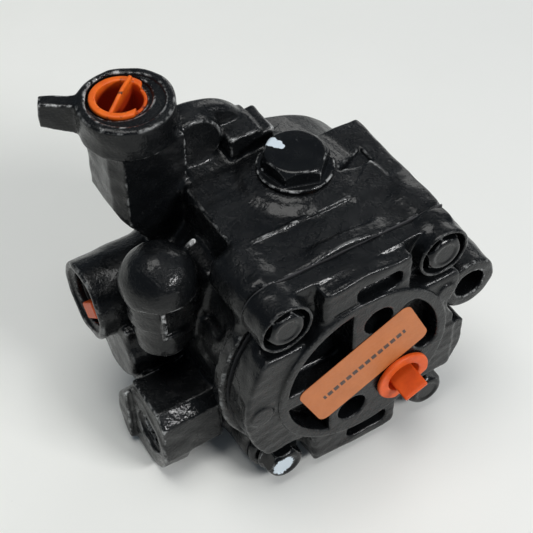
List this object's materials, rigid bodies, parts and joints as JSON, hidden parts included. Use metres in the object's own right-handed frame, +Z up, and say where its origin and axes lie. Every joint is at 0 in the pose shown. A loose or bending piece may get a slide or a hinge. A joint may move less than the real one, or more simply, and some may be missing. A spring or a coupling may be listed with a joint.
{
  "type": "axial piston pump",
  "caption": "Black cast-iron fixed swash-plate axial piston pump with side and top ports, a bolted port cover and pull-out port caps.",
  "frame": {"origin": "on the shaft axis, in the plane of the round mounting face", "axes": "+Y along the shaft out of the drive end, +Z up, +X towards the side with the lug; the bolted port cover faces -Y"},
  "size_m": [0.1356, 0.1385, 0.138],
  "materials": {
    "black_paint": "thick gloss black enamel over a rough iron casting",
    "black_paint_cover": "thick gloss black enamel, pooled in the pockets",
    "black_paint_bolts": "gloss black enamel over hexagon heads, chipped, with pale paint dabs",
    "black_paint_plug": "gloss black enamel over a pressed steel cup",
    "gasket_paper": "thin fibre gasket with a painted edge",
    "soft_copper": "crushed copper washer",
    "ground_steel": "hardened and ground",
    "plain_steel": "turned steel with a thin film of oil",
    "cage_steel": "pressed sheet",
    "spring_steel": "dark oil-tempered wire",
    "bronze": "machined bearing bronze",
    "seal_rubber": "black nitrile over a steel case",
    "orange_plastic": "soft moulded orange plastic",
    "orange_label": "blank matt orange adhesive label"
  },
  "bodies": {
    "housing": {"pump_housing": "black_paint", "front_cover": "black_paint_cover", "cover_gasket": "gasket_paper", "cover_bolts": "black_paint_bolts", "hex_plug": "black_paint_bolts", "plug_washer": "soft_copper", "valve_plate": "bronze", "valve_plate_pin": "ground_steel", "front_bush": "bronze", "thrust_race_rear": "ground_steel", "swash_plate": "plain_steel", "bearing_outer_ring": "ground_steel", "shaft_seal": "seal_rubber", "seal_retaining_ring": "plain_steel", "check_spring": "spring_steel", "relief_spring": "spring_steel", "relief_plug": "plain_steel", "core_plug": "black_paint_plug", "label": "orange_label"},
    "rotor": {"drive_shaft": "ground_steel", "drive_key": "plain_steel", "cylinder_barrel": "plain_steel", "bearing_inner_ring": "ground_steel", "piston_spring_1": "spring_steel", "piston_spring_2": "spring_steel", "piston_spring_3": "spring_steel", "piston_spring_4": "spring_steel", "piston_spring_5": "spring_steel", "piston_spring_6": "spring_steel", "piston_spring_7": "spring_steel"},
    "bearing_cage_set": {"bearing_balls": "ground_steel", "bearing_cage": "cage_steel"},
    "thrust_race": {"thrust_race_front": "ground_steel"},
    "thrust_cage_set": {"thrust_balls": "ground_steel", "thrust_cage": "bronze"},
    "check_valve": {"check_ball": "ground_steel"},
    "relief_valve": {"relief_spool": "ground_steel"},
    "tower_port_cap": {"tower_cap": "orange_plastic"},
    "side_port_cap": {"side_cap": "orange_plastic"},
    "front_port_cap": {"front_cap": "orange_plastic"},
    "piston_body_1": {"piston_1": "ground_steel"},
    "piston_body_2": {"piston_2": "ground_steel"},
    "piston_body_3": {"piston_3": "ground_steel"},
    "piston_body_4": {"piston_4": "ground_steel"},
    "piston_body_5": {"piston_5": "ground_steel"},
    "piston_body_6": {"piston_6": "ground_steel"},
    "piston_body_7": {"piston_7": "ground_steel"}
  },
  "joints": [
    {"name": "shaft_spin", "type": "hinge", "parent": "housing", "child": "rotor", "pos_m": [0, 0, 0], "axis": [0, 1, 0], "continuous": true},
    {"name": "bearing_cage_spin", "type": "hinge", "parent": "housing", "child": "bearing_cage_set", "pos_m": [0, 0.001, 0], "axis": [0, 1, 0], "continuous": true},
    {"name": "thrust_race_spin", "type": "hinge", "parent": "housing", "child": "thrust_race", "pos_m": [0, -0.0204, 0], "axis": [0.119, 0.9848, 0.1265], "continuous": true},
    {"name": "thrust_cage_spin", "type": "hinge", "parent": "housing", "child": "thrust_cage_set", "pos_m": [0, -0.0204, 0], "axis": [0.119, 0.9848, 0.1265], "continuous": true},
    {"name": "piston_slide_1", "type": "slide", "parent": "rotor", "child": "piston_body_1", "axis": [0, 1, 0], "range_m": [-0.007, 0], "stiffness_N_per_m": 400, "deforming": ["piston_spring_1"]},
    {"name": "piston_slide_2", "type": "slide", "parent": "rotor", "child": "piston_body_2", "axis": [0, 1, 0], "range_m": [-0.007, 0], "stiffness_N_per_m": 400, "deforming": ["piston_spring_2"]},
    {"name": "piston_slide_3", "type": "slide", "parent": "rotor", "child": "piston_body_3", "axis": [0, 1, 0], "range_m": [-0.007, 0], "stiffness_N_per_m": 400, "deforming": ["piston_spring_3"]},
    {"name": "piston_slide_4", "type": "slide", "parent": "rotor", "child": "piston_body_4", "axis": [0, 1, 0], "range_m": [-0.007, 0], "stiffness_N_per_m": 400, "deforming": ["piston_spring_4"]},
    {"name": "piston_slide_5", "type": "slide", "parent": "rotor", "child": "piston_body_5", "axis": [0, 1, 0], "range_m": [-0.007, 0], "stiffness_N_per_m": 400, "deforming": ["piston_spring_5"]},
    {"name": "piston_slide_6", "type": "slide", "parent": "rotor", "child": "piston_body_6", "axis": [0, 1, 0], "range_m": [-0.007, 0], "stiffness_N_per_m": 400, "deforming": ["piston_spring_6"]},
    {"name": "piston_slide_7", "type": "slide", "parent": "rotor", "child": "piston_body_7", "axis": [0, 1, 0], "range_m": [-0.007, 0], "stiffness_N_per_m": 400, "deforming": ["piston_spring_7"]},
    {"name": "check_ball_lift", "type": "slide", "parent": "housing", "child": "check_valve", "axis": [0, 0, 1], "range_m": [0, 0.003], "stiffness_N_per_m": 100, "deforming": ["check_spring"]},
    {"name": "relief_spool_slide", "type": "slide", "parent": "housing", "child": "relief_valve", "axis": [0, 0, 1], "range_m": [0, 0.006], "stiffness_N_per_m": 400, "deforming": ["relief_spring"]},
    {"name": "tower_cap_pull", "type": "slide", "parent": "housing", "child": "tower_port_cap", "axis": [0, 0, 1], "range_m": [0, 0.018]},
    {"name": "side_cap_pull", "type": "slide", "parent": "housing", "child": "side_port_cap", "axis": [-1, 0, 0], "range_m": [0, 0.016]},
    {"name": "front_cap_pull", "type": "slide", "parent": "housing", "child": "front_port_cap", "axis": [0, -1, 0], "range_m": [0, 0.014]}
  ],
  "couplings": [
    {"joint": "bearing_cage_spin", "follows": "shaft_spin", "ratio": 0.382},
    {"joint": "thrust_race_spin", "follows": "shaft_spin", "ratio": 1},
    {"joint": "thrust_cage_spin", "follows": "shaft_spin", "ratio": 0.5}
  ]
}
